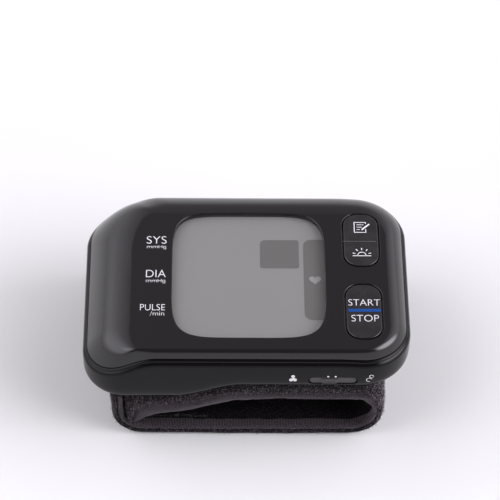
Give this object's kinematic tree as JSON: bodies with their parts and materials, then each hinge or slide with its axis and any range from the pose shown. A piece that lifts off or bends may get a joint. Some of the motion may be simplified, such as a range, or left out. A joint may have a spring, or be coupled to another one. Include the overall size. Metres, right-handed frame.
{
  "type": "wrist blood pressure monitor",
  "caption": "Slim glossy wrist blood pressure monitor with a square display, a start/stop key, a rocker key and a padded fabric cuff whose strap folds open.",
  "frame": {"origin": "on the surface it stands on, the flat underside of the closed cuff, below the middle of the casing", "axes": "+X along the casing from the battery end to the keys, +Y towards the top of the display, +Z out of the display's face"},
  "size_m": [0.091, 0.0639, 0.0364],
  "materials": {
    "gloss_black": "high gloss",
    "key_black": "semi gloss",
    "matte_black": "fine texture",
    "clear_lens": "clear, polished",
    "display_grey": "reflective liquid crystal panel",
    "white_plastic": "moulded",
    "board_green": "solder mask on glass fibre",
    "component_black": "moulded",
    "steel": "plated",
    "brass": "bright",
    "cell_sleeve": "plain printed sleeve",
    "cuff_fabric": "brushed loop pile",
    "hook_black": "hook tape",
    "rubber": "soft, matte"
  },
  "bodies": {
    "monitor": {"top_cover": "gloss_black", "lower_case": "gloss_black", "display_lens": "clear_lens", "display_panel": "display_grey", "display_frame": "white_plastic", "main_board": "board_green", "tact_switch_start": "component_black", "tact_switch_average": "component_black", "tact_switch_memory": "component_black", "processor": "component_black", "radio_module": "steel", "pressure_sensor": "white_plastic", "buzzer": "component_black", "user_switch": "steel", "pump_motor": "steel", "pump_head": "white_plastic", "valve_body": "steel", "air_manifold": "rubber", "battery_left": "cell_sleeve", "battery_right": "cell_sleeve", "battery_plate_left": "brass", "battery_plate_right": "brass", "battery_spring_left": "steel", "battery_spring_right": "steel", "case_screw_1": "steel", "case_screw_2": "steel", "cuff_base_plate": "matte_black", "cuff_cover": "cuff_fabric", "cuff_curler": "white_plastic", "air_bladder": "rubber"},
    "start_stop": {"start_stop_key": "key_black"},
    "rocker": {"memory_rocker_key": "key_black"},
    "knob": {"user_switch_knob": "matte_black"},
    "door": {"battery_cover": "gloss_black"},
    "strap": {"cuff_strap": "cuff_fabric", "hook_patch": "hook_black"},
    "crank": {"pump_crank": "brass"},
    "plunger": {"valve_plunger": "brass"}
  },
  "joints": [
    {"name": "start_stop_press", "type": "slide", "parent": "monitor", "child": "start_stop", "axis": [0, 0, -1], "range_m": [0, 0.0005], "stiffness_N_per_m": 1000, "springref_m": -0.0004},
    {"name": "memory_rocker_tilt", "type": "hinge", "parent": "monitor", "child": "rocker", "pos_m": [0.0324, 0.0112, 0.03355], "axis": [1, 0, 0], "range_deg": [-2.3, 2.3], "stiffness_Nm_per_rad": 0.1},
    {"name": "user_switch_slide", "type": "slide", "parent": "monitor", "child": "knob", "axis": [1, 0, 0], "range_m": [0, 0.002]},
    {"name": "battery_cover_slide", "type": "slide", "parent": "monitor", "child": "door", "axis": [-1, 0, 0], "range_m": [0, 0.03]},
    {"name": "cuff_strap_fold", "type": "hinge", "parent": "monitor", "child": "strap", "pos_m": [0.0386, 0, 0.01], "axis": [0, -1, 0], "range_deg": [0, 100]},
    {"name": "pump_crank_spin", "type": "hinge", "parent": "monitor", "child": "crank", "pos_m": [-0.0114, -0.013, 0.0268], "axis": [0, 1, 0], "continuous": true},
    {"name": "valve_plunger_slide", "type": "slide", "parent": "monitor", "child": "plunger", "axis": [0, 1, 0], "range_m": [0, 0.0006], "stiffness_N_per_m": 200, "springref_m": -0.0004}
  ]
}
